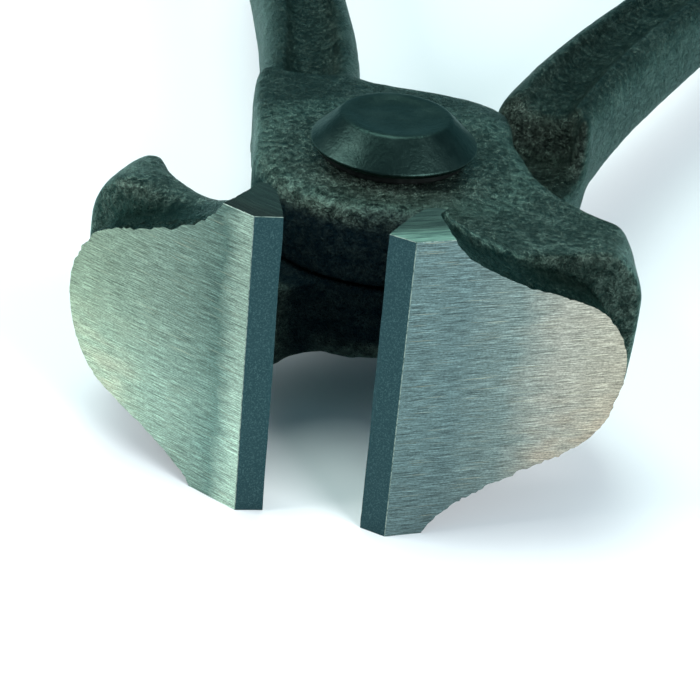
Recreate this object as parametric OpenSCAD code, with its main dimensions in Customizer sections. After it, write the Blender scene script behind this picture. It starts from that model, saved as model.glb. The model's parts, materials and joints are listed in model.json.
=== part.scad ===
// Forged end-cutting nippers: two crossing levers in a lap joint on one large rivet.
// The tool lies flat, blade ends on z = 0, jaws towards -Y, grips towards +Y.
// A lever is drawn once, jaws closed, rivet axis on z, lap plane at z = 0, jaw on +X.

/* [Head] */
// Length of each cutting edge, along the rivet axis
blade_len = 30; // [22:0.5:40]
// Rivet axis to cutting edge
reach = 32; // [26:0.5:42]
// Rivet axis to the outside of a jaw
jaw_half_w = 24.5; // [21:0.5:32]
// Width of the ground bevel beside a cutting edge
bevel_w = 2.6; // [1.5:0.1:4]
// Angle of that bevel from square to the axis
bevel_deg = 25; // [10:1:40]
// How far the ground face falls back from square
face_deg = 19; // [10:1:28]
// Length of the ground face across the jaw
face_len = 21.5; // [17:0.5:26]
// How far each jaw stands open at rest
open_deg = 8; // [2:0.5:12]
// How much fuller one half of the lower lever's ground face is left
fuller = 1.15; // [1:0.01:1.2]

/* [Joint] */
// Rivet axis to the rim of the boss
boss_r = 14; // [12:0.5:18]
// Thickness of one cheek at the boss
cheek_t = 8; // [6:0.5:11]
// Half thickness of a jaw's shoulder, at its ridge
shoulder_t = 10; // [8:0.2:12]
// How far the shoulder's outer edge is rounded in
shoulder_round = 6; // [3:0.5:8]
// Diameter of the rivet's shank
shank_d = 12; // [9:0.5:15]
// Diameter of the rivet head where it is widest
rivet_head_d = 16.8; // [14:0.2:22]
// Diameter of the rivet head's flat top
rivet_top_d = 11; // [8:0.2:14]
// Height of the rivet head
rivet_head_h = 3.3; // [2:0.1:5]
// Diameter of the washers under the rivet's two heads
washer_d = 14.6; // [13:0.2:18]
// Thickness of those washers
washer_t = 0.8; // [0.5:0.1:1.5]

/* [Handles] */
// Rivet axis to the far end of a grip
handle_len = 250; // [200:5:320]
// Width of a handle just behind the joint
handle_w = 12; // [10:0.5:15]
// Thickness of a handle just behind the joint
handle_t = 12.6; // [10:0.2:15]
// Rounding along a handle's edges
handle_round = 5; // [2:0.2:5.6]
// Width of the tang inside a grip
tang_w = 10; // [8:0.5:12]
// Thickness of that tang
tang_t = 8; // [6:0.5:10]
// Spacing of the grips' centre lines at the far end, jaws closed
grip_spread = 50; // [40:1:70]
// Depth of the recess forged into a handle's face
recess_d = 2.2; // [1:0.1:3]
// Width of the rim left beside that recess
recess_rim = 3.2; // [2:0.2:4]
// Length of a grip sleeve
grip_len = 138; // [110:1:170]
// Width of a grip sleeve
grip_w = 21; // [17:0.5:26]
// Height of a grip sleeve
grip_h = 18; // [14:0.5:22]

/* [Clearances] */
// Gap between the two lap faces
lap_gap = 0.2; // [0.1:0.05:0.5]
// Radial gap between the shank and the turning lever
run_fit = 0.05; // [0.02:0.01:0.1]
// Gap left between the cutting edges when closed
edge_gap = 0.1; // [0.05:0.05:0.4]
// Gap around a boss inside the other lever
swing_gap = 1; // [0.5:0.1:2]

/* [Hidden] */
steel_dark = [0.15, 0.17, 0.17];
steel_rivet = [0.22, 0.24, 0.24];
steel_washer = [0.12, 0.12, 0.13];
grip_black = [0.06, 0.06, 0.065];
half_blade = blade_len / 2;
lap = lap_gap / 2;
cut_x = edge_gap / 2;
front_x = cut_x + bevel_w * cos(bevel_deg);
front_y = -reach - bevel_w * sin(bevel_deg);
face_end_x = front_x + face_len * cos(face_deg);
face_end_y = front_y + face_len * sin(face_deg);
lap_r = boss_r + 8.2;
rear_r = boss_r + 10.5;
tang_y = handle_len - grip_len - 4;
tang_end = handle_len - 8;
tang_x = 0.78 * grip_spread / 2;
far_x = grip_spread / 2;
grip_lean = atan((far_x - tang_x) / (handle_len - tang_y));
rear_y = (handle_len + 4) * cos(open_deg) - far_x * sin(open_deg);
mid_y = (rear_y + front_y * cos(open_deg) + front_x * sin(open_deg)) / 2;

function mix(a, b, t) = a * (1 - t) + b * t;
function bez(a, b, c, d, t) =
    mix(mix(mix(a, b, t), mix(b, c, t), t), mix(mix(b, c, t), mix(c, d, t), t), t);
function curve(a, b, c, d, n) = [for (i = [0 : n]) bez(a, b, c, d, i / n)];

// ---- plan outlines, jaws closed, jaw on +X ----

// Outside of the jaw, from the end of the ground face back to the boss.
jaw_corner = [0.9 * jaw_half_w, -0.31 * reach];
jaw_out = concat(
    curve([face_end_x, face_end_y], [jaw_half_w * 0.97, -0.76 * reach],
          [jaw_half_w * 1.04, -0.36 * reach], jaw_corner, 10),
    curve(jaw_corner, [0.8 * jaw_half_w, -0.26 * reach],
          [boss_r + 1, -0.12 * reach], [boss_r - 0.3, 1.7], 8),
    [[boss_r - 1.4, 6], [0, 6]]);
// Mouth side, from the boss forward to the cutting edge.
jaw_in = concat(
    curve([0, -boss_r + 1], [0.16 * jaw_half_w, -boss_r - 0.5],
          [0.27 * jaw_half_w, -0.6 * reach], [0.19 * jaw_half_w, -0.73 * reach], 8),
    curve([0.19 * jaw_half_w, -0.73 * reach], [0.15 * jaw_half_w, -0.8 * reach],
          [0.05 * jaw_half_w, -0.9 * reach], [cut_x, -reach], 6));

module jaw_plan() {
    polygon(concat(jaw_in, [[front_x, front_y]], jaw_out));
}

// Body behind the rivet, which covers the crossing of the levers.
rear_side = boss_r - 1.5;
rim_x = boss_r + 1.6;
module rear_plan() {
    polygon(concat(
        [[0, 0], [rear_side, 0], [rear_side, 0.5 * rear_r]],
        curve([rear_side, 0.5 * rear_r], [rear_side, 0.88 * rear_r],
              [3, 0.84 * rear_r], [handle_w - rim_x, 0.95 * rear_r], 8),
        curve([-rim_x, 0.95 * rear_r], [-rim_x, 0.5 * rear_r],
              [-boss_r, 0.4 * rear_r], [-boss_r, 0], 6)));
}

// Handle centre line on -X, and its outline at a given fraction of the width.
root_x = handle_w / 2 - rim_x;
function handle_mid(t) =
    bez([root_x, 0.9 * rear_r], [root_x, 0.5 * tang_y],
        [1 - tang_x, 0.7 * tang_y], [-tang_x, tang_y], t);
function handle_half(t) = mix(handle_w, tang_w, t) / 2;
function edge_pts(side, rim, t0, t1, n) =
    [for (i = [0 : n]) let (t = mix(t0, t1, i / n))
        handle_mid(t) + [side * (handle_half(t) - rim), 0]];
module handle_plan(rim, t0, t1) {
    left = edge_pts(-1, rim, t0, t1, 16);
    right = edge_pts(1, rim, t0, t1, 16);
    polygon(concat(left, [for (i = [16 : -1 : 0]) right[i]]));
}

module tang_plan() {
    translate([-tang_x, tang_y]) rotate(grip_lean)
        translate([-tang_w / 2, -0.5]) square([tang_w, tang_end - tang_y + 0.5]);
}

// ---- one lever ----

// Half thickness of the lever along its length, seen from the side.
module side_limit() {
    top = [[-reach * 1.3, shoulder_t], [-0.72 * reach, shoulder_t], [-0.3 * reach, cheek_t],
           [rivet_head_d / 2 + 1, cheek_t], [rear_r, handle_t / 2], [0.45 * tang_y, handle_t / 2],
           [tang_y - 6, tang_t * 0.55], [tang_y, tang_t / 2], [handle_len, tang_t / 2]];
    low = [for (i = [len(top) - 1 : -1 : 0]) [top[i][0], -top[i][1]]];
    rotate([90, 0, 90])
        linear_extrude(height = 4 * boss_r + grip_spread, center = true)
            polygon(concat(top, low));
}

// Cuts that round the handle's edges in steps, on both faces.
edge_steps = 5;
module edge_cut(side) {
    for (i = [1 : edge_steps])
        let (turn = 90 * (i - 0.5) / edge_steps, rim = handle_round * (1 - cos(turn)))
            translate([0, 0, side * (handle_t / 2 - handle_round * (1 - sin(turn)))])
                scale([1, 1, side]) linear_extrude(height = half_blade) difference() {
                    translate([-3 * handle_w, 1.02 * rear_r]) square([4 * handle_w, tang_y - 1.1 * rear_r]);
                    handle_plan(rim, 0, 1);
                }
}

// Everything on the cheek's own side of the lap plane.
module own_layer() {
    translate([0, 0, lap]) linear_extrude(height = half_blade) {
        jaw_plan();
        circle(r = boss_r, $fn = 96);
        rear_plan();
        handle_plan(0, 0, 1);
        tang_plan();
    }
}

// The other side: the jaw outside the other boss, the handle behind its rear body.
stop_y = 0.9 * rear_r;
module far_layer() {
    translate([0, 0, -half_blade]) linear_extrude(height = half_blade + lap) {
        difference() {
            jaw_plan();
            circle(r = lap_r, $fn = 96);
        }
        difference() {
            union() {
                rear_plan();
                handle_plan(0, 0, 1);
                tang_plan();
            }
            translate([-rear_side - swing_gap, 0])
                square([3 * boss_r, rear_r + swing_gap]);
            translate([-2 * boss_r, -1]) square([4 * boss_r, stop_y + 1]);
        }
    }
}

// Half height of the ground face at a distance along it.
face_top = concat(
    [[-1, half_blade]],
    curve([0.14 * face_len, half_blade], [0.2 * face_len, 0.95 * half_blade],
          [0.24 * face_len, 0.87 * half_blade], [0.31 * face_len, 0.81 * half_blade], 5),
    curve([0.31 * face_len, 0.81 * half_blade], [0.5 * face_len, 0.65 * half_blade],
          [0.66 * face_len, 0.61 * half_blade], [0.82 * face_len, 0.5 * half_blade], 6),
    curve([0.82 * face_len, 0.5 * half_blade], [0.93 * face_len, 0.4 * half_blade],
          [face_len, 0.22 * half_blade], [face_len, 0], 6));
function bell(full, out) = [for (p = face_top) [p[0] + out, min(half_blade, p[1] * full)]];

module at_face() {
    translate([front_x, front_y, 0]) rotate([0, 0, face_deg]) children();
}

// Takes the jaw down to the bell shape in front of the ridge of its shoulder.
ridge_d = 0.18 * blade_len;
module front_flank(side, full) {
    at_face() translate([0, ridge_d, 0]) rotate([90, 0, 0])
        linear_extrude(height = ridge_d + 3) scale([1, side])
            polygon(concat(bell(full, 0), [[face_len, -1], [face_len + 9, -1],
                [face_len + 9, half_blade + 3], [-1, half_blade + 3]]));
}

// The tall end of the blade, above and below the shoulders. It is wider towards its back.
fin_top = 0.19 * blade_len;
fin_foot = 0.3 * blade_len;
module blade_fin(full) {
    intersection() {
        linear_extrude(height = blade_len, center = true) jaw_plan();
        at_face() rotate([90, 0, 90]) linear_extrude(height = 2 * face_len, center = true)
            polygon([[-2, half_blade], [fin_top, half_blade], [fin_foot, shoulder_t - 1],
                     [fin_foot, 1 - shoulder_t], [fin_top, -half_blade], [-2, -half_blade]]);
        at_face() translate([0, fin_foot + 1, 0]) rotate([90, 0, 0])
            linear_extrude(height = fin_foot + 4) {
                polygon(concat([[-9, half_blade]], bell(full, 1.2), [[-9, 0]]));
                polygon(concat([[-9, -half_blade]],
                    [for (p = bell(1, 1.2)) [p[0], -p[1]]], [[-9, 0]]));
            }
    }
}

// Rounds the outer side of the shoulder, above (side 1) or below (side -1).
outer_x = 1.01 * jaw_half_w;
module outer_round(side) {
    translate([0, -0.1 * reach, 0]) rotate([90, 0, 0])
        linear_extrude(height = 1.3 * reach) scale([1, side])
            polygon(concat(
                curve([outer_x - shoulder_round, shoulder_t], [outer_x - 0.45 * shoulder_round, shoulder_t],
                      [outer_x, 0.55 * shoulder_t], [outer_x, -0.1], 8),
                [[2 * outer_x, -0.1], [2 * outer_x, half_blade + 3],
                 [outer_x - shoulder_round, half_blade + 3]]));
}

module ground_cuts() {
    at_face() translate([-10, -20, -half_blade - 1]) cube([50, 20, blade_len + 2]);
    translate([cut_x, -reach, 0]) rotate([0, 0, -bevel_deg])
        translate([-10, -20, -half_blade - 1]) cube([30, 20, blade_len + 2]);
}

module recesses() {
    for (side = [1, -1])
        translate([0, 0, side * (handle_t / 2 - recess_d + 5)])
            linear_extrude(height = 10, center = true) handle_plan(recess_rim, 0.02, 0.62);
}

module lever(bore_r, full) {
    difference() {
        union() {
            intersection() {
                union() {
                    own_layer();
                    far_layer();
                }
                side_limit();
            }
            blade_fin(full);
        }
        front_flank(1, full);
        front_flank(-1, 1);
        outer_round(1);
        outer_round(-1);
        ground_cuts();
        edge_cut(1);
        edge_cut(-1);
        recesses();
        cylinder(r = bore_r, h = 60, center = true, $fn = 96);
    }
}

// ---- grip, on -X ----
module stadium(w, h) {
    for (side = [-1, 1])
        translate([side * (w - h) / 2, 0]) circle(d = h, $fn = 64);
    square([w - h, h], center = true);
}

grip_0 = handle_len - grip_len;
module grip() {
    difference() {
        translate([-tang_x, tang_y, 0]) rotate([0, 0, grip_lean])
            translate([0, grip_0 - tang_y, 0]) intersection() {
                rotate([-90, 0, 0]) linear_extrude(height = grip_len + 4) stadium(grip_w, grip_h);
                linear_extrude(height = grip_h + 2, center = true)
                    polygon(concat([[0, 0]],
                        curve([grip_w * 0.4, 0], [grip_w * 0.56, 0],
                              [grip_w * 0.52, grip_len * 0.04], [grip_w * 0.4, grip_len * 0.12], 6),
                        curve([grip_w * 0.4, grip_len * 0.12], [grip_w * 0.34, grip_len * 0.2],
                              [grip_w * 0.54, grip_len * 0.4], [grip_w * 0.48, grip_len * 0.6], 8),
                        curve([grip_w * 0.48, grip_len * 0.6], [grip_w * 0.42, grip_len * 0.8],
                              [grip_w * 0.52, grip_len + 4], [grip_w * 0.2, grip_len + 4], 8),
                        curve([-grip_w * 0.2, grip_len + 4], [-grip_w * 0.52, grip_len + 4],
                              [-grip_w * 0.42, grip_len * 0.8], [-grip_w * 0.48, grip_len * 0.6], 8),
                        curve([-grip_w * 0.48, grip_len * 0.6], [-grip_w * 0.54, grip_len * 0.4],
                              [-grip_w * 0.34, grip_len * 0.2], [-grip_w * 0.4, grip_len * 0.12], 8),
                        curve([-grip_w * 0.4, grip_len * 0.12], [-grip_w * 0.52, grip_len * 0.04],
                              [-grip_w * 0.56, 0], [-grip_w * 0.4, 0], 6)));
            }
        linear_extrude(height = tang_t, center = true) tang_plan();
    }
}

// ---- rivet and washers, on the axis ----
head_z = cheek_t + washer_t + 0.1;
module rivet_half() {
    rotate_extrude($fn = 96)
        polygon([[0, 0], [shank_d / 2, 0], [shank_d / 2, head_z], [rivet_head_d / 2 - 0.4, head_z],
                 [rivet_head_d / 2, head_z + 0.5], [rivet_top_d / 2, head_z + rivet_head_h],
                 [0, head_z + rivet_head_h]]);
}

module washer() {
    translate([0, 0, cheek_t + 0.05]) difference() {
        cylinder(d = washer_d, h = washer_t, $fn = 96);
        translate([0, 0, -1]) cylinder(d = shank_d + 2 * run_fit, h = washer_t + 2, $fn = 96);
    }
}

// ---- places ----
module placed() {
    translate([0, -mid_y, half_blade]) children();
}
module on_upper() {
    placed() rotate([0, 0, open_deg]) children();
}
module on_lower() {
    placed() rotate([0, 0, -open_deg]) rotate([0, 180, 0]) children();
}

module upper_lever() { color(steel_dark) on_upper() lever(shank_d / 2 + run_fit, 1); }
module lower_lever() { color(steel_dark) on_lower() lever(shank_d / 2, fuller); }
module pivot_rivet() {
    color(steel_rivet) placed() {
        rivet_half();
        rotate([180, 0, 0]) rivet_half();
    }
}
module upper_washer() { color(steel_washer) placed() washer(); }
module lower_washer() { color(steel_washer) placed() rotate([180, 0, 0]) washer(); }
module left_grip() { color(grip_black) on_upper() grip(); }
module right_grip() { color(grip_black) on_lower() grip(); }

upper_lever();
lower_lever();
pivot_rivet();
upper_washer();
lower_washer();
left_grip();
right_grip();
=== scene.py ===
# %% [markdown]
# # Forged end-cutting nippers
# Two heavy levers cross in a lap joint and turn on one large rivet. The frame holds the
# plain machine shapes. This lesson gives each of them the look of the real thing: steel
# that was forged, coated dark, and then ground bright only where it has to cut.

# %% The frame
import json
import math

import bmesh
import bpy
import numpy as np
from mathutils import Matrix, Vector, noise


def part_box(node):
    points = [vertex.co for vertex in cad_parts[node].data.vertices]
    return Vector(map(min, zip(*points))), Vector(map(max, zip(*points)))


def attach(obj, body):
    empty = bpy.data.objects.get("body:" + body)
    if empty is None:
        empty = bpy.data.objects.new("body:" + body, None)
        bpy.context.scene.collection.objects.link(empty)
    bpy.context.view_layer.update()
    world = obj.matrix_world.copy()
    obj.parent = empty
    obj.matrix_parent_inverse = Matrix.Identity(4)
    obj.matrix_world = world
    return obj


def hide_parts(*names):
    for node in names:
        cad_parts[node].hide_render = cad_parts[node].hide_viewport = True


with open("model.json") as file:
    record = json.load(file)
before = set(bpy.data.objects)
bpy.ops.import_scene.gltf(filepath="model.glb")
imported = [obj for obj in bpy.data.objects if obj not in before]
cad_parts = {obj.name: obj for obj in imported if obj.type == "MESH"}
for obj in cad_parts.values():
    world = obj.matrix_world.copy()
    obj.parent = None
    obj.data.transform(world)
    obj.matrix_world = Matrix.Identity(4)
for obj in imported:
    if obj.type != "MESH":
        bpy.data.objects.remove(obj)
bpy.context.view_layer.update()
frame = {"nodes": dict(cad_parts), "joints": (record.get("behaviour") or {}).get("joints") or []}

MM = 0.001
joint = frame["joints"][0]
pivot = Vector(joint["pos_m"])
half_open = math.radians(-joint["range_deg"][0] / 2)
print("pivot at", tuple(round(v / MM, 2) for v in pivot), "mm")

# %% [markdown]
# ## Two frames to work in
# Both levers are the same forging, one of them turned over. Each lever is easiest to
# work on in its own frame, in millimetres: rivet axis on z, lap plane at z = 0, jaws
# closed and this lever's jaw on +X. A matrix for each lever leads from there to its
# place in the tool, so that every step below is written once and used twice.

# %% Lever frames
MERGE = 0.005
size_up = Matrix.Scale(MM, 4)
turned_over = Matrix.Rotation(math.pi, 4, "Y")
to_tool = {
    "upper_lever": Matrix.Translation(pivot) @ Matrix.Rotation(half_open, 4, "Z") @ size_up,
    "lower_lever": Matrix.Translation(pivot) @ Matrix.Rotation(-half_open, 4, "Z")
                   @ turned_over @ size_up,
}


def own_copy(node, place):
    """A bmesh copy of a CAD node in the frame that place leads from, merged into one skin."""
    bm = bmesh.new()
    bm.from_mesh(frame["nodes"][node].data)
    bm.transform(place.inverted())
    bmesh.ops.remove_doubles(bm, verts=bm.verts, dist=MERGE)
    return bm


def to_mesh(bm, name):
    mesh = bpy.data.meshes.new(name)
    bm.to_mesh(mesh)
    bm.free()
    return mesh


print("levers stand", round(math.degrees(half_open), 1), "degrees open each")

# %% [markdown]
# ## Where the grinder cut
# A forging comes out of its die rounded everywhere. The maker then grinds flat faces on
# it: the wide front face of the jaw, the narrow bevel that makes the cutting edge, and
# the two ends of the blade. To tell these planes from the rest, the faces of the CAD
# mesh are sorted by the plane they lie in. The largest group that looks forward is the
# ground face, and the largest that leans towards the other jaw is the bevel.


# %% Finding the ground planes
UPRIGHT = 0.01
FORWARD = -0.5
ASIDE = 0.05


def upright_planes(bm):
    """The upright planes of a mesh that look forward, as (area, normal, distance)."""
    found = {}
    for face in bm.faces:
        n = face.normal
        away = n.dot(face.calc_center_median())
        if abs(n.z) < UPRIGHT and n.y < FORWARD:
            key = (round(n.x, 2), round(away, 1))
            area, normal, _ = found.get(key, (0, n.copy(), away))
            found[key] = (area + face.calc_area(), normal, away)
    return sorted(found.values(), key=lambda plane: -plane[0])


def ground_planes(bm):
    """The jaw's ground face and bevel and the blade's ends, each as (point, outward normal)."""
    upright = upright_planes(bm)
    face = next(p for p in upright if p[1].x > ASIDE)
    bevel = next(p for p in upright if p[1].x < -ASIDE)
    cuts = [(n * away, n) for _, n, away in (face, bevel)]
    end = max(v.co.z for v in bm.verts)
    return cuts + [(Vector((0, 0, end)), Vector((0, 0, 1))),
                   (Vector((0, 0, -end)), Vector((0, 0, -1)))]


probe = own_copy("upper_lever", to_tool["upper_lever"])
cuts = ground_planes(probe)
probe.free()
face_turn = math.atan2(cuts[0][1].x, -cuts[0][1].y)
face_point, face_normal = cuts[0]
front_edge = np.linalg.solve(
    [list(cuts[0][1])[:2], list(cuts[1][1])[:2]],
    [cuts[0][0].dot(cuts[0][1]), cuts[1][0].dot(cuts[1][1])])
print("ground face turned", round(math.degrees(face_turn), 1), "degrees, front edge at",
      front_edge.round(2))

# %% [markdown]
# ## From machined edges to a forging
# The order on the bench is the order here. Stock is added on the planes that will be
# ground. The skin is rebuilt as even small quads by a voxel remesh, so that every edge
# can flow. Then the points are relaxed towards their neighbours, little on the lap faces,
# which have to stay true, and freely on the handle and the shoulders. Last, noises of three
# sizes press shallow dents in, and only inwards, because a part never grows in the sandblast.
# Next to the ground face they bite deeper, where the wheel tears the skin and chips its rim.

# %% Relaxing a skin
# In mm: the width of one quad of the skin, and how much steel the wheel takes off.
VOXEL = 0.43
STOCK = 2.6


def remeshed(mesh, voxel):
    """The same closed shape with an even skin of quads."""
    holder = bpy.data.objects.new("remesh", mesh)
    bpy.context.scene.collection.objects.link(holder)
    modifier = holder.modifiers.new("skin", "REMESH")
    modifier.mode, modifier.voxel_size = "VOXEL", voxel
    made = bpy.data.meshes.new_from_object(
        holder.evaluated_get(bpy.context.evaluated_depsgraph_get()))
    bpy.data.objects.remove(holder)
    return made


def points_of(mesh, kind="vertices", field="co"):
    values = np.empty(len(getattr(mesh, kind)) * 3, np.float32)
    getattr(mesh, kind).foreach_get(field, values)
    return values.reshape(-1, 3).astype(float)


def put_points(mesh, points):
    mesh.vertices.foreach_set("co", points.astype(np.float32).ravel())
    mesh.update()


def relax(mesh, weight, times):
    """Moves each point towards the mean of its neighbours, times over, by half its weight."""
    ends = np.empty(len(mesh.edges) * 2, np.int32)
    mesh.edges.foreach_get("vertices", ends)
    a, b = ends.reshape(-1, 2).T
    points = points_of(mesh)
    count = np.bincount(a, minlength=len(points)) + np.bincount(b, minlength=len(points))
    share = 0.5 * weight / np.maximum(count, 1)
    for _ in range(times):
        for axis in range(3):
            p = points[:, axis]
            pull = (np.bincount(a, p[b], len(p)) + np.bincount(b, p[a], len(p)) - count * p)
            points[:, axis] = p + share * pull
    put_points(mesh, points)


def ramp(x, low, high):
    """0 below low, 1 above high and a soft step between them."""
    t = np.clip((x - low) / (high - low), 0, 1)
    return t * t * (3 - 2 * t)


# %% Sizes of the rivet
rivet_rings = set()
for v in frame["nodes"]["pivot_rivet"].data.vertices:
    p = (v.co - pivot) / MM
    rivet_rings.add((round(math.hypot(p.x, p.y), 2), round(abs(p.z), 2)))
head_r, rim_z = max(rivet_rings)
top_z, under_z = max(z for r, z in rivet_rings), min(z for r, z in rivet_rings)
top_r = max(r for r, z in rivet_rings if z == top_z)
under_r = max(r for r, z in rivet_rings if z == under_z)
shank_r = min(r for r, z in rivet_rings if z == under_z)
lap_reach = 2.6 * head_r
print("rivet shank", 2 * shank_r, "mm, head", 2 * head_r, "mm across, top", 2 * top_r, "mm")

# %% Where a forging may move
# Shares from 0 to 1: how free the lap faces are, and how firmly the flank is held.
LAP_FREEDOM = 0.04
FLANK_HOLD = 0.8


def ahead_of_face(points):
    """How far each point stands in front of the ground face's plane."""
    return (points - face_point) @ np.array(face_normal)


def freedom(points):
    """How far each point of a lever may relax: 0 in the bore, little on the lap faces."""
    x, y, z = points.T
    around = np.hypot(x, y)
    off_lap = LAP_FREEDOM + (1 - LAP_FREEDOM) * ramp(np.abs(z), 0.5, 1.8)
    off_bore = ramp(around, shank_r + 0.6, shank_r + 1.6)
    held = FLANK_HOLD * ramp(ahead_of_face(points), -10, -7) * ramp(x, -2, 2) * ramp(z, -6, 2)
    at_lap = np.where(around < lap_reach, off_lap, 1)
    return at_lap * off_bore * (1 - held)


def shoulder(points):
    """1 on the back corner of the shoulder, on the side that carries no cheek."""
    x, y, z = points.T
    around = np.hypot(x, y)
    near_step = 1 - ramp(around, lap_reach + 3, lap_reach + 7)
    return near_step * ramp(around, lap_reach - 2, lap_reach) * ramp(-z, 2.5, 5)


# %% Dents and chips
# In mm: the depth of a dent, the three sizes of dents, and how deep the rim is torn.
DENT = 0.12
SLOW, BRISK, FINE = 5.0, 1.7, 0.8
RIM_CHIP, RIM_NOTCH = 0.55, 0.3


def dent(mesh, seed, depth):
    """Presses dents of three sizes into a skin, and chips the rim of the ground face."""
    points, normals = points_of(mesh), points_of(mesh, "vertex_normals", "vector")
    shift = Vector((seed, 2.7 * seed, 0))
    slow = np.array([noise.noise(Vector(p) / SLOW + shift) for p in points])
    brisk = np.array([noise.noise(Vector(p) / BRISK + shift) for p in points])
    chips = np.array([noise.noise(Vector(p) / FINE - shift) for p in points])
    press = depth * (0.5 + 0.5 * slow) + 0.4 * depth * (0.5 + 0.5 * brisk)
    press += 0.4 * depth * (0.5 + 0.5 * chips)
    at_rim = ramp(ahead_of_face(points), -3, -1)
    at_rim *= ramp(points[:, 0], front_edge[0] + 0.5, front_edge[0] + 3)
    press += at_rim * (RIM_CHIP * np.abs(chips) + RIM_NOTCH * np.abs(brisk))
    free = freedom(points) ** 0.5
    put_points(mesh, points - normals * (press * free)[:, None])

# %% [markdown]
# ## Grinding
# Each ground plane slices the forging, and the hole it leaves is closed with one flat
# face, which is as true as a real ground face is. The rims where two ground faces meet
# get a bevel narrower than a hair, because a wheel leaves a fine bright burr line there
# and a render needs a real face to catch that light.

# %% Slicing with planes
FORGED, GROUND, BEVEL, END, BURR = range(5)
PLANE_FINISH = (GROUND, BEVEL, END, END)
CUT_DIST = 1e-5


def grind(bm, point, normal, finish):
    """Cuts off what is outside a plane and closes the cut with flat faces of one finish."""
    cut = bmesh.ops.bisect_plane(
        bm, geom=bm.verts[:] + bm.edges[:] + bm.faces[:], dist=CUT_DIST,
        plane_co=point, plane_no=normal, clear_outer=True)["geom_cut"]
    rim = [e for e in cut if isinstance(e, bmesh.types.BMEdge) and e.is_boundary]
    made = bmesh.ops.holes_fill(bm, edges=rim, sides=0)["faces"]
    for face in made:
        face.normal_update()
        if face.normal.dot(normal) < 0:
            face.normal_flip()
        face.material_index, face.smooth = finish, False
        for edge in face.edges:
            edge.smooth = False
    return made


# %% One lever, step by step
# Lengths in mm. The relax counts say how round the die leaves an edge.
ON_PLANE = 0.04
RELAX_ALL, RELAX_SHOULDER = 34, 40
BURR_WIDTH = 0.045


def with_stock(bm, cuts):
    """Moves the points that lie on ground planes outwards by the grinding stock."""
    shift = {v: Vector() for v in bm.verts}
    for point, normal in cuts:
        for v in bm.verts:
            if abs((v.co - point).dot(normal)) < ON_PLANE:
                shift[v] += normal * STOCK
    for v, by in shift.items():
        v.co += by
    return bm


def forge(node, seed):
    """One lever in its own frame: stock, skin, relaxing, dents and grinding."""
    bm = own_copy(node, to_tool[node])
    cuts = ground_planes(bm)
    mesh = remeshed(to_mesh(with_stock(bm, cuts), node), VOXEL)
    relax(mesh, freedom(points_of(mesh)), RELAX_ALL)
    relax(mesh, shoulder(points_of(mesh)), RELAX_SHOULDER)
    dent(mesh, seed, DENT)
    bm = bmesh.new()
    bm.from_mesh(mesh)
    for face in bm.faces:
        face.smooth, face.material_index = True, FORGED
    for (point, normal), finish in zip(cuts, PLANE_FINISH):
        grind(bm, point, normal, finish)
    rims = [e for e in bm.edges if len(e.link_faces) == 2
            and all(f.material_index != FORGED for f in e.link_faces)]
    bmesh.ops.bevel(bm, geom=rims, offset=BURR_WIDTH, segments=1, affect="EDGES", material=BURR)
    bmesh.ops.triangulate(bm, faces=[f for f in bm.faces if len(f.verts) > 4])
    bmesh.ops.recalc_face_normals(bm, faces=bm.faces)
    return to_mesh(bm, node + "_forged")


def in_place(mesh, place, name):
    """Keeps each point's place in the lever's own frame, then moves the mesh into the tool."""
    kept = mesh.attributes.new("lever_mm", "FLOAT_VECTOR", "POINT")
    kept.data.foreach_set("vector", points_of(mesh).astype(np.float32).ravel())
    mesh.transform(place)
    made = bpy.data.objects.new(name, mesh)
    bpy.context.scene.collection.objects.link(made)
    print(name, len(mesh.vertices), "points,",
          sum(len(p.vertices) - 2 for p in mesh.polygons), "triangles")
    return made


# %% Both levers
levers = {}
for seed, node in enumerate(to_tool):
    levers[node] = in_place(forge(node, seed), to_tool[node], "forged_" + node)

# %% [markdown]
# ## Shader sums in plain Python
# Node trees are easier to read as sums than as noodles. One small class holds an output
# socket, and its operators add Math nodes, so `1 - mask * 0.5` builds what it says.
# Every other node comes from the one method `add`.


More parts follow.
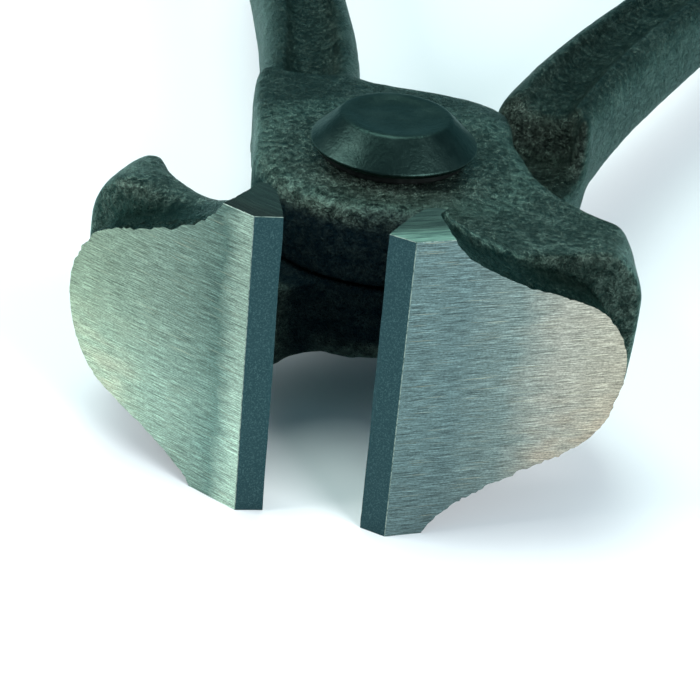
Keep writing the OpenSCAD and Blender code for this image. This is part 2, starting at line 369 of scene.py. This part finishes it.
# %% A socket that can be calculated with
class Wire:
    """One output of a node in a shader tree."""

    def __init__(self, tree, socket):
        self.tree, self.socket = tree, socket

    def add(self, kind, settings=None, inputs=None, out=0):
        """Adds a node: its settings first, then its sockets' values or links."""
        node = self.tree.nodes.new("ShaderNode" + kind)
        for key, value in (settings or {}).items():
            if key == "stops":
                for i, (place, tone) in enumerate(value):
                    stops = node.color_ramp.elements
                    stop = stops[i] if i < 2 else stops.new(place)
                    stop.position, stop.color = place, (*tone, 1)
            else:
                setattr(node, key, value)
        for key, value in (inputs or {}).items():
            if isinstance(value, Wire):
                self.tree.links.new(value.socket, node.inputs[key])
            else:
                node.inputs[key].default_value = value
        return Wire(self.tree, node.outputs[out])

    def calc(self, operation, first, second=0.0):
        return self.add("Math", {"operation": operation}, {0: first, 1: second})

    def __add__(self, other):
        return self.calc("ADD", self, other)

    def __sub__(self, other):
        return self.calc("SUBTRACT", self, other)

    def __rsub__(self, other):
        return self.calc("SUBTRACT", other, self)

    def __mul__(self, other):
        return self.calc("MULTIPLY", self, other)

    __radd__, __rmul__ = __add__, __mul__

    def scaled(self, by):
        """This vector or colour, made longer or brighter by a value."""
        return self.add("VectorMath", {"operation": "SCALE"}, {0: self, 3: by})

    def stretched(self, x, y, z):
        """This vector with each axis scaled."""
        return self.add("VectorMath", {"operation": "MULTIPLY"}, {0: self, 1: (x, y, z)})

    def noise(self, scale, detail=3.0, rough=0.55):
        """Noise of about 1 / scale in size on this vector, from 0 to 1."""
        return self.add("TexNoise", None, {"Vector": self, "Scale": scale, "Detail": detail,
                                           "Roughness": rough})

    def cells(self, scale):
        """Distance to the nearest of scattered points, for pits."""
        return self.add("TexVoronoi", None, {"Vector": self, "Scale": scale})

    def part(self, axis):
        """One coordinate of this vector."""
        return self.add("SeparateXYZ", None, {0: self}, out="XYZ".index(axis))

    def step(self, low, high, to_low=0.0, to_high=1.0):
        """A soft step of this value from low to high."""
        return self.add("MapRange", {"interpolation_type": "SMOOTHSTEP"},
                        {"Value": self, "From Min": low, "From Max": high,
                         "To Min": to_low, "To Max": to_high})

    def blend(self, one, other):
        """Colour one where this value is 0, and the other colour where it is 1."""
        full = [c if isinstance(c, Wire) else (*c, 1) for c in (one, other)]
        return self.add("Mix", {"data_type": "RGBA"}, {0: self, 6: full[0], 7: full[1]}, out=2)


# %% Coordinates along the ground face
def across_jaw(at):
    """The lever's coordinates, turned so that x runs along the ground face."""
    centred = at.add("VectorMath", {"operation": "SUBTRACT"},
                     {0: at, 1: (front_edge[0], front_edge[1], 0)})
    return centred.add("Mapping", {"vector_type": "POINT"},
                       {"Vector": centred, "Rotation": (0, 0, -face_turn)})


# %% A finish from a recipe
def coat(name, recipe, attribute=None, **constants):
    """A material. recipe gets the coordinates in mm and returns the shader's varying inputs."""
    material = bpy.data.materials.new(name)
    material.use_nodes = True
    tree = material.node_tree
    shader = tree.nodes["Principled BSDF"]
    start = Wire(tree, None)
    if attribute:
        at = start.add("Attribute", {"attribute_name": attribute}, out="Vector")
    else:
        at = start.add("TexCoord", out="Object").stretched(1 / MM, 1 / MM, 1 / MM)
    varying = recipe(at)
    heights = varying.pop("Relief", [])
    normal = None
    for height, depth_mm in heights:
        inputs = {"Height": height, "Distance": depth_mm * MM, "Strength": 1.0}
        if normal:
            inputs["Normal"] = normal
        normal = at.add("Bump", None, inputs)
    if normal:
        varying["Normal"] = normal
    for key, value in varying.items():
        tree.links.new(value.socket, shader.inputs[key])
    for key, value in constants.items():
        shader.inputs[key.replace("_", " ")].default_value = value
    print("finish", name, "with", len(tree.nodes), "nodes")
    return material


# %% [markdown]
# ## The coated forging
# Phosphate turns forged steel a dark grey-green. Up close the skin is full of small pits
# and creases from scale, with slow lumps under them, and high spots that were rubbed
# lighter in the tumbler and by the hand. The recipe mixes noises of all those sizes. Oil
# gathers in places, and a second helper says where on the lever, in the lever's own
# millimetres: where oil and painted shade darken the lap joint and the mouth, where painted
# shade darkens the flank, and where painted highlights lie on the ridge and the boss's rim.

# %% Places on a forging
def forging_places(at):
    """Where oil and painted shade darken the lever, painted shade on the flank, and painted
    highlights on the ridge and the rim of the boss.
    """
    x, y, z = (at.part(axis) for axis in "XYZ")
    flat = x * x + y * y
    around = flat.calc("SQRT", flat)
    height = z.calc("ABSOLUTE", z)
    # Oil and painted shade near the lap joint in front of the rivet; painted shade on the walls
    # of the mouth.
    recess_oil_and_shade = around.step(lap_reach - 2, lap_reach - 6) * height.step(7.4, 5.6) * y.step(0, -6)
    mouth_shade = x.step(5.5, 3.0) * y.step(-12, -15) * height.step(13, 9)
    oil_and_shade = recess_oil_and_shade.calc("MAXIMUM", recess_oil_and_shade, mouth_shade)
    face = across_jaw(at)
    back, out = face.part("Y"), face.part("X")
    # Painted shade on the steep flank between the ground face and the ridge.
    flank_shade = back.step(6.2, 5.0) * out.step(2, 5) * out.step(24.6, 23)
    # Painted highlight along the ridge above the flank.
    ridge_highlight = back.step(5.0, 5.5) * back.step(6.7, 5.8) * out.step(16, 9) * z.step(0, 3)
    # Painted highlight on the rounded rim of the boss.
    rim = around.step(10.8, 12.6) * around.step(17, 14.5) * height.step(6.5, 8)
    return oil_and_shade, flank_shade, ridge_highlight, rim


# %% Forged steel
COAT_LOW, COAT_HIGH = (0.016, 0.027, 0.023), (0.076, 0.108, 0.088)
# The second colour is for oil and for painted shade near the lap joint and in the mouth.
RUBBED, OIL_AND_SHADE = (0.145, 0.21, 0.175), (0.001, 0.008, 0.015)
# Painted shade for the flank, and painted highlights for the ridge and the boss's rim.
FLANK_SHADE, RIDGE_HIGHLIGHT, RIM_HIGHLIGHT = (0.004, 0.012, 0.010), (0.15, 0.24, 0.195), (0.12, 0.20, 0.165)
HANDLE_SHADE = 0.5


def forged_steel(at):
    lumps, grain, fine = at.noise(0.22, 4), at.noise(1.3, 6, 0.66), at.noise(7.0, 3)
    pits = at.cells(2.6).step(0.05, 0.45)
    grit = at.stretched(1, 0.7, 1).noise(4.6, 2, 0.6)
    creases = at.stretched(1, 0.4, 1).noise(0.8, 6, 0.7)
    crease = 1 - creases.calc("ABSOLUTE", creases - 0.5).step(0.0, 0.03)
    rubbed = (grain * 0.75 + lumps * 0.55).step(0.58, 0.82)
    oil_and_shade, flank_shade, ridge_highlight, rim = forging_places(at)
    tone = grain.step(0.3, 0.7).blend(COAT_LOW, COAT_HIGH)
    tone = (rubbed * 0.6).blend(tone, RUBBED)
    tone = tone.scaled(grit.step(0.3, 0.7, 0.45, 1.65))
    # Painted shade darkens the flank.
    tone = (flank_shade * 0.8).blend(tone, FLANK_SHADE)
    # Painted highlight on the ridge.
    tone = (ridge_highlight * grain.step(0.35, 0.6) * 0.7).blend(tone, RIDGE_HIGHLIGHT)
    tone = tone.scaled(at.part("Y").step(7, 13, 1.0, HANDLE_SHADE))
    # Painted highlight on the boss's rim.
    tone = (rim * grain.step(0.35, 0.6) * 0.55).blend(tone, RIM_HIGHLIGHT)
    # Oil and painted shade darken the lap joint and the mouth.
    tone = (oil_and_shade * 0.85).blend(tone, OIL_AND_SHADE)
    return {
        "Base Color": tone,
        "Roughness": fine * 0.15 + grain * 0.15 + oil_and_shade * 0.35 + 0.18,
        "Relief": [(lumps, 0.5), (grain - crease * 0.3, 0.7), (grit, 0.19),
                   (pits * 0.6 + fine * 0.4, 0.12)],
    }


forged = coat("forged_steel", forged_steel, "lever_mm", Metallic=1.0,
              Specular_Tint=(0.55, 0.8, 0.76, 1))

# %% [markdown]
# ## Ground steel
# The wheel leaves fine scratches straight across the jaw. Noise squeezed thin across the
# scratches and drawn long beside them gives lines of many lengths, and a slower noise
# makes bands where the wheel bit a little more. Each jaw has its own run of tones from the
# edge outwards, and a painted reflection can brighten the lower end of its face.


# %% Ground faces
FACE_RUN = 22.0
WARM_STAIN, STRAW, SPECK = (0.40, 0.30, 0.21), (0.50, 0.49, 0.34), (0.05, 0.06, 0.06)


def ground_steel(tones, down, warm, painted_reflection):
    """A recipe for one jaw: tones from the edge outwards, which way is down in the lever's
    frame, a share of warm stain, and how much a painted reflection brightens the lower end."""
    def recipe(at):
        face = across_jaw(at)
        lines = face.stretched(0.7, 1, 9).noise(1.0, 2, 0.7)
        scratches = face.stretched(0.35, 1, 18).noise(1.0, 1, 0.6)
        grain = face.stretched(1, 1, 2).noise(4.0, 2, 0.7)
        bands = face.stretched(0.16, 1, 0.45).noise(1.0, 3)
        specks = face.noise(3.2, 2, 0.7).step(0.70, 0.78)
        run = face.part("X") * (1 / FACE_RUN) + (bands - 0.5) * 0.2
        tone = run.add("ValToRGB", {"stops": tones}, {0: run})
        depth = face.part("Z") * down
        low = depth.step(-2, 9) * face.part("X").step(11, 16)
        tone = (low * (bands.step(0.3, 0.7) * warm)).blend(tone, WARM_STAIN)
        # The last factor is a painted reflection that brightens the lower end of the face.
        tone = tone.scaled(lines.step(0.3, 0.7, 0.68, 1.34) * scratches.step(0.3, 0.7, 0.58, 1.44)
                           * grain.step(0.3, 0.7, 0.74, 1.27) * depth.step(-6, 11, 1.0, painted_reflection))
        streaks = face.stretched(0.2, 1, 11).noise(1.0, 1).step(0.64, 0.74)
        tone = (streaks * 0.35).blend(tone, STRAW)
        tone = (specks * 0.6).blend(tone, SPECK)
        return {
            "Base Color": tone,
            "Roughness": lines * 0.25 + scratches * 0.15 + 0.16,
            "Relief": [(lines, 0.035), (scratches, 0.012)],
        }
    return recipe


# %% Tones of the two jaws
right_tones = [(0.0, (0.095, 0.146, 0.146)), (0.22, (0.092, 0.139, 0.139)),
               (0.45, (0.132, 0.176, 0.166)), (0.66, (0.263, 0.265, 0.226)),
               (1.0, (0.307, 0.286, 0.226))]
left_tones = [(0.0, (0.208, 0.279, 0.227)), (0.04, (0.208, 0.279, 0.227)),
              (0.14, (0.072, 0.121, 0.103)), (0.22, (0.098, 0.15, 0.125)),
              (0.45, (0.142, 0.199, 0.16)), (1.0, (0.194, 0.257, 0.185))]
right_ground = ground_steel(right_tones, down=-1, warm=0.6, painted_reflection=1.0)
left_ground = ground_steel(left_tones, down=1, warm=0.25, painted_reflection=1.75)
ground = {"upper_lever": coat("ground_steel_right", right_ground, "lever_mm", Metallic=1.0),
          "lower_lever": coat("ground_steel_left", left_ground, "lever_mm", Metallic=1.0)}


# %% Bevels
def bevel_steel(at):
    fine, speck = at.noise(9.0, 2, 0.7), at.noise(6.5, 2, 0.8)
    slow = at.noise(0.5, 3)
    # Dark blue-grey tones: a painted reflection of the dark gap and the other jaw that the bevel
    # faces.
    tone = speck.step(0.45, 0.75).blend((0.013, 0.040, 0.046), (0.050, 0.105, 0.108))
    tone = (slow * 0.4).blend(tone, (0.026, 0.062, 0.070))
    return {"Base Color": tone, "Roughness": fine * 0.25 + 0.3, "Relief": [(fine, 0.012)]}


bevelled = coat("bevel_steel", bevel_steel, "lever_mm", Metallic=0.9)


# %% Blade ends
def end_steel(painted_highlight):
    """The coarse grinding on a blade's ends, with a painted highlight next to the front edge, as
    strong as given for each jaw.
    """
    def recipe(at):
        face = across_jaw(at)
        lines = face.stretched(0.2, 4.0, 1).noise(1.0, 4, 0.7)
        back = face.part("Y").step(0.8, 3.0)
        # Next to the front edge the lines get lighter tones, scaled as a painted highlight.
        near = lines.step(0.3, 0.7).blend((0.03, 0.065, 0.055), (0.13, 0.22, 0.18))
        near = near.scaled(painted_highlight)
        far = lines.step(0.45, 0.75).blend((0.008, 0.022, 0.019), (0.04, 0.078, 0.067))
        return {"Base Color": (back * 0.85).blend(near, far),
                "Roughness": lines * 0.25 + 0.35, "Relief": [(lines, 0.10)]}
    return recipe


ends = {"upper_lever": coat("end_steel_right", end_steel(1.9), "lever_mm", Metallic=0.95),
        "lower_lever": coat("end_steel_left", end_steel(0.15), "lever_mm", Metallic=0.95)}


# %% Burr lines
def burr_steel(at):
    nick = at.noise(2.5, 4, 0.7)
    return {"Base Color": nick.step(0.35, 0.6).blend((0.06, 0.10, 0.09), (0.27, 0.34, 0.30)),
            "Roughness": nick * 0.3 + 0.4}


burr = coat("burr_steel", burr_steel, "lever_mm", Metallic=1.0)

# %% Dressing the levers
for node, lever in levers.items():
    for material in (forged, ground[node], bevelled, ends[node], burr):
        lever.data.materials.append(material)
    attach(lever, "upper_half" if node == "upper_lever" else "lower_half")
    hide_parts(node)
    print(lever.name, "carries", len(lever.data.materials), "finishes")

# %% [markdown]
# ## The rivet and its washers
# Turned parts are an outline swept round an axis. The outline comes from the CAD, its
# corners are rounded the way a press rounds a hot rivet head, and a shallow dish is set
# in the top. Sweeping rings of points one by one keeps the skin closed at both poles.

# %% Rounding an outline
SEGMENTS = 128
ON_AXIS = 1e-6


def rounded(outline, radii, steps=6):
    """An outline with each corner cut back by its radius and drawn as a curve."""
    made = [outline[0]]
    for i in range(1, len(outline) - 1):
        before, corner, after = (Vector(p) for p in outline[i - 1:i + 2])
        back, on = before - corner, after - corner
        radius = min(radii[i], 0.45 * back.length, 0.45 * on.length)
        start, stop = corner + back.normalized() * radius, corner + on.normalized() * radius
        for k in range(steps + 1):
            t = k / steps
            made.append(tuple(start * (1 - t) ** 2 + corner * (2 * t * (1 - t)) + stop * t ** 2))
    return made + [outline[-1]]


# %% Turning an outline
def turned(name, outline, closed, wobble=0.0):
    """A mesh swept round the rivet axis from (radius, height) points, in the tool's frame."""
    bm = bmesh.new()
    rings = []
    for r, z in outline:
        if r < ON_AXIS:
            rings.append([bm.verts.new((0, 0, z))])
            continue
        ring = []
        for k in range(SEGMENTS):
            turn = 2 * math.pi * k / SEGMENTS
            c, s = math.cos(turn), math.sin(turn)
            off = 1 - wobble * (0.5 + 0.5 * noise.noise(Vector((2 * c, 2 * s, z / 4))))
            ring.append(bm.verts.new((r * off * c, r * off * s, z)))
        rings.append(ring)
    for one, other in zip(rings, rings[1:] + ([rings[0]] if closed else [])):
        for k in range(SEGMENTS):
            j = (k + 1) % SEGMENTS
            corners = [one[k % len(one)], one[j % len(one)],
                       other[j % len(other)], other[k % len(other)]]
            bm.faces.new(list(dict.fromkeys(corners)))
    bmesh.ops.recalc_face_normals(bm, faces=bm.faces)
    for face in bm.faces:
        face.smooth = True
    bm.transform(Matrix.Translation(pivot) @ size_up)
    made = bpy.data.objects.new(name, to_mesh(bm, name))
    bpy.context.scene.collection.objects.link(made)
    return made


# %% The rivet's shape
# Depths in mm, radii as shares of the flat top, and how far hammering left it from round.
DISH_DEEP, DISH_SHALLOW = 0.25, 0.2
DISH_FLOOR, DISH_LIP = 0.62, 0.86
HAMMERED = 0.006
half = [(0, top_z - DISH_DEEP), (DISH_FLOOR * top_r, top_z - DISH_SHALLOW),
        (DISH_LIP * top_r, top_z), (top_r, top_z), (head_r, rim_z),
        (under_r, under_z), (shank_r, under_z), (shank_r, 0)]
half_radii = [0, 1.6, 1.2, 1.5, 0.45, 0.3, 0.2, 0]
upper_outline = rounded(half, half_radii, 8)
outline = upper_outline + [(r, -z) for r, z in reversed(upper_outline[:-1])]
rivet = turned("rivet", outline, False, HAMMERED)
print("rivet head", round(2 * head_r, 1), "mm across,", round(top_z - under_z, 2), "mm high")


# %% The rivet's finish
def rivet_steel(at):
    slow, grain, fine = at.noise(0.3, 3), at.noise(2.0, 4, 0.6), at.noise(7.0, 3)
    tone = grain.blend((0.009, 0.020, 0.018), (0.020, 0.038, 0.034))
    tone = (slow.step(0.45, 0.7) * 0.35).blend(tone, (0.040, 0.068, 0.060))
    return {"Base Color": tone, "Roughness": slow * 0.15 + fine * 0.18 + 0.2,
            "Relief": [(slow, 0.12), (grain, 0.05), (fine, 0.015)]}


rivet.data.materials.append(coat("rivet_steel", rivet_steel, Metallic=1.0,
                                 Specular_Tint=(0.7, 0.9, 0.85, 1)))
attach(rivet, "lower_half")
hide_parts("pivot_rivet")


# %% The washers' finish
def washer_steel(at):
    grain, fine = at.noise(1.2, 4), at.noise(6.0, 3)
    # Almost black: the washers' dark steel, and painted shade for the narrow gap under the rivet
    # head.
    tone = grain.step(0.35, 0.7).blend((0.004, 0.005, 0.005), (0.014, 0.016, 0.016))
    return {"Base Color": tone, "Roughness": fine * 0.2 + 0.4, "Relief": [(grain, 0.03)]}


washer_finish = coat("washer_steel", washer_steel, Metallic=0.7)

# %% Two washers
WASHER_FIT = 0.05
for node in ("upper_washer", "lower_washer"):
    low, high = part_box(node)
    r_out, z0, z1 = (high.x - low.x) / 2 / MM, (low.z - pivot.z) / MM, (high.z - pivot.z) / MM
    r_in = shank_r + WASHER_FIT
    ring = [(r_in, z0), (r_out, z0), (r_out, z1), (r_in, z1), (r_in, (z0 + z1) / 2)]
    washer = turned(node + "_ring", rounded(ring, [0, 0.2, 0.2, 0.1, 0], 4), True)
    washer.data.materials.append(washer_finish)
    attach(washer, "lower_half")
    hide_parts(node)
    print(node, "from z", round(z0, 2), "to", round(z1, 2))

# %% [markdown]
# ## The grips
# Moulded sleeves slide over the tangs. Their ribs are a rule along the sleeve, so a
# Geometry Nodes tree makes them: it measures how far along the sleeve each point is,
# and lifts the skin outwards in a row of waves. The sizes are inputs of the tree.


# %% Ribs by rule
def rib_tree():
    """A tree that raises ribs across a sleeve between two places along its axis."""
    tree = bpy.data.node_groups.new("grip_ribs", "GeometryNodeTree")
    face = tree.interface
    face.new_socket("Geometry", in_out="INPUT", socket_type="NodeSocketGeometry")
    for name, kind in (("Axis", "Vector"), ("Middle", "Vector"), ("Zone", "Float"),
                       ("Pitch", "Float"), ("Height", "Float"), ("Finish", "Material")):
        face.new_socket(name, in_out="INPUT", socket_type="NodeSocket" + kind)
    face.new_socket("Geometry", in_out="OUTPUT", socket_type="NodeSocketGeometry")

    def node(kind, settings=None, out=0, **links):
        made = tree.nodes.new(kind)
        for key, value in (settings or {}).items():
            setattr(made, key, value)
        for key, value in links.items():
            socket = made.inputs[int(key[1:])]
            if isinstance(value, bpy.types.NodeSocket):
                tree.links.new(value, socket)
            else:
                socket.default_value = value
        return made.outputs[out]

    given = tree.nodes.new("NodeGroupInput").outputs
    here = node("GeometryNodeInputPosition")
    normal = node("GeometryNodeInputNormal")
    vector, math_ = "ShaderNodeVectorMath", "ShaderNodeMath"
    away = node(vector, {"operation": "SUBTRACT"}, s0=here, s1=given["Middle"])
    along = node(vector, {"operation": "DOT_PRODUCT"}, out=1, s0=away, s1=given["Axis"])
    core = node(vector, {"operation": "SCALE"}, s0=given["Axis"], s3=along)
    side = node(vector, {"operation": "SUBTRACT"}, s0=away, s1=core)
    facing = node(vector, {"operation": "DOT_PRODUCT"}, out=1, s0=side, s1=normal)
    outside = node(math_, {"operation": "GREATER_THAN"}, s0=facing, s1=0.0)
    turns = node(math_, {"operation": "DIVIDE"}, s0=along, s1=given["Pitch"])
    wave = node(math_, {"operation": "COSINE"},
                s0=node(math_, {"operation": "MULTIPLY"}, s0=turns, s1=2 * math.pi))
    crest = node("ShaderNodeMapRange", {"interpolation_type": "SMOOTHSTEP"},
                 s0=wave, s1=-0.1, s2=0.75)
    from_middle = node(math_, {"operation": "ABSOLUTE"}, s0=along)
    share = node(math_, {"operation": "DIVIDE"}, s0=from_middle, s1=given["Zone"])
    inside = node("ShaderNodeMapRange", {"interpolation_type": "SMOOTHSTEP"},
                  s0=share, s1=1.0, s2=0.93)
    lift = node(math_, {"operation": "MULTIPLY"}, s0=crest, s1=inside)
    lift = node(math_, {"operation": "MULTIPLY"}, s0=lift, s1=outside)
    lift = node(math_, {"operation": "MULTIPLY"}, s0=lift, s1=given["Height"])
    move = node(vector, {"operation": "SCALE"}, s0=normal, s3=lift)
    raised = node("GeometryNodeSetPosition", s0=given["Geometry"], s3=move)
    plain = node("GeometryNodeRealizeInstances", s0=raised)
    dressed = node("GeometryNodeSetMaterial", s0=plain, s2=given["Finish"])
    tree.links.new(dressed, tree.nodes.new("NodeGroupOutput").inputs[0])
    return tree


ribs = rib_tree()
print("rib tree of", len(ribs.nodes), "nodes")


# %% [markdown]
# ## Rubber
# The sleeves are a matte, faintly mottled charcoal with scattered greyer flecks. The fine
# grain is the texture of the mould.

# %% Rubber finish
def grip_rubber(at):
    slow, grain, fine = at.noise(0.08, 3), at.noise(1.6, 3), at.noise(7.0, 2)
    tone = slow.blend((0.016, 0.017, 0.018), (0.030, 0.031, 0.032))
    tone = (grain.step(0.5, 0.75) * 0.4).blend(tone, (0.05, 0.05, 0.051))
    return {"Base Color": tone, "Roughness": fine * 0.2 + slow * 0.15 + 0.5,
            "Relief": [(grain, 0.05), (fine, 0.03)]}


rubber = coat("grip_rubber", grip_rubber)

# %% A moulded skin
SLEEVE_VOXEL, SLEEVE_RELAX = 0.75, 10


def moulded(node):
    """A sleeve's even, relaxed skin, in metres, in its place in the tool."""
    mesh = remeshed(to_mesh(own_copy(node, size_up), node), SLEEVE_VOXEL)
    relax(mesh, np.ones(len(mesh.vertices)), SLEEVE_RELAX)
    mesh.transform(size_up)
    for polygon in mesh.polygons:
        polygon.use_smooth = True
    return mesh


# %% Ribs on a sleeve
# The ribs fill this share of the half length on each side of the middle; the rest in mm.
RIB_ZONE = 0.42
RIB_PITCH, RIB_HEIGHT = 5.2, 0.55


def ribbed(mesh):
    """The same skin with ribs across its longest direction, made by the tree."""
    points = points_of(mesh)
    middle = (points.max(0) + points.min(0)) / 2
    axis = np.linalg.svd(points - points.mean(0), full_matrices=False)[2][0]
    reach = np.abs((points - middle) @ axis).max()
    holder = bpy.data.objects.new("holder", mesh)
    bpy.context.scene.collection.objects.link(holder)
    modifier = holder.modifiers.new("ribs", "NODES")
    modifier.node_group = ribs
    ids = {s.name: s.identifier for s in ribs.interface.items_tree if s.in_out == "INPUT"}
    for name, value in (("Axis", axis), ("Middle", middle), ("Zone", RIB_ZONE * reach),
                        ("Pitch", RIB_PITCH * MM), ("Height", RIB_HEIGHT * MM)):
        modifier[ids[name]] = value if np.isscalar(value) else [float(x) for x in value]
    modifier[ids["Finish"]] = rubber
    made = bpy.data.meshes.new_from_object(
        holder.evaluated_get(bpy.context.evaluated_depsgraph_get()))
    bpy.data.objects.remove(holder)
    print("ribs over", round(2 * RIB_ZONE * reach / MM, 1), "mm of a sleeve")
    return made


# %% Both sleeves
for node, body in (("left_grip", "upper_half"), ("right_grip", "lower_half")):
    sleeve = bpy.data.objects.new(node + "_sleeve", ribbed(moulded(node)))
    bpy.context.scene.collection.objects.link(sleeve)
    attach(sleeve, body)
    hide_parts(node)
    print(sleeve.name, len(sleeve.data.polygons), "faces")

# %% [markdown]
# ## Floor, light and camera
# The tool lies on a white table under large soft lamps. The table is bright enough to
# burn out, and what light reaches the shadows is the cool light of the room.

# %% Floor
TABLE = 3.0
bm = bmesh.new()
bmesh.ops.create_grid(bm, x_segments=8, y_segments=8, size=TABLE)
floor = bpy.data.objects.new("table_top", to_mesh(bm, "table_top"))
bpy.context.scene.collection.objects.link(floor)


def table_white(at):
    mottle = at.noise(0.01, 2)
    return {"Base Color": mottle.blend((0.80, 0.82, 0.85), (0.84, 0.85, 0.87)),
            "Roughness": mottle * 0.1 + 0.6}


floor.data.materials.append(coat("table_white", table_white))


# %% Lamps
LAMP_SIZE = 300.0


def lamp(name, at_mm, watts, colour):
    """A soft square lamp that looks at the rivet."""
    light = bpy.data.lights.new(name, "AREA")
    light.shape, light.size = "SQUARE", LAMP_SIZE * MM
    light.energy, light.color = watts, colour
    made = bpy.data.objects.new(name, light)
    bpy.context.scene.collection.objects.link(made)
    made.location = pivot + Vector(at_mm) * MM
    made.rotation_mode = "QUATERNION"
    made.rotation_quaternion = (pivot - made.location).to_track_quat("-Z", "Y")
    print(name, "of", watts, "W at", at_mm, "mm from the rivet")


lamp("overhead", (-90, 130, 460), 1.7, (0.86, 1.0, 0.93))
lamp("left_box", (-420, -120, 280), 2.4, (1.0, 1.0, 0.97))
lamp("right_box", (380, -300, 260), 3.4, (1.0, 1.0, 1.0))

# %% The light of the room
ROOM_COLOUR, ROOM_STRENGTH = (0.50, 0.85, 1.0, 1), 0.42
world = bpy.data.worlds.new("room")
bpy.context.scene.world = world
world.use_nodes = True
background = world.node_tree.nodes["Background"]
background.inputs["Color"].default_value = ROOM_COLOUR
background.inputs["Strength"].default_value = ROOM_STRENGTH

scene = bpy.context.scene
scene.view_settings.view_transform = "Standard"
scene.view_settings.look = "None"
scene.view_settings.exposure = 0.0

# %% [markdown]
# ## The camera
# A long lens close to the table looks down on the jaws at about thirty degrees, a little
# from the left, with the tripod head not quite level. Its place is worked out from those
# angles and from the rivet.

# %% Camera
LOOK_DOWN, TURN, TILT = 0.51965, 0.14195, 0.09491
DISTANCE, SIDE_STEP, DROP = 207.274, -2.3826, -12.8735
LENS_MM, SENSOR_MM = 105.43, 36.0

ahead = Vector((-math.sin(TURN), math.cos(TURN), 0))
forward = math.cos(LOOK_DOWN) * ahead - math.sin(LOOK_DOWN) * Vector((0, 0, 1))
right = Vector((math.cos(TURN), math.sin(TURN), 0))
up = right.cross(forward)
view_x = math.cos(TILT) * right + math.sin(TILT) * up
view_y = math.cos(TILT) * up - math.sin(TILT) * right
turn = Matrix((view_x, view_y, -forward)).transposed()

camera = bpy.data.objects.new("camera", bpy.data.cameras.new("camera"))
scene.collection.objects.link(camera)
camera.data.lens, camera.data.sensor_width = LENS_MM, SENSOR_MM
camera.data.clip_start, camera.data.clip_end = 0.01, 20
camera.matrix_world = Matrix.Translation(
    pivot + (SIDE_STEP * right + DROP * up - DISTANCE * forward) * MM) @ turn.to_4x4()
scene.camera = camera
print("camera", tuple(round(v / MM, 1) for v in camera.location), "mm")
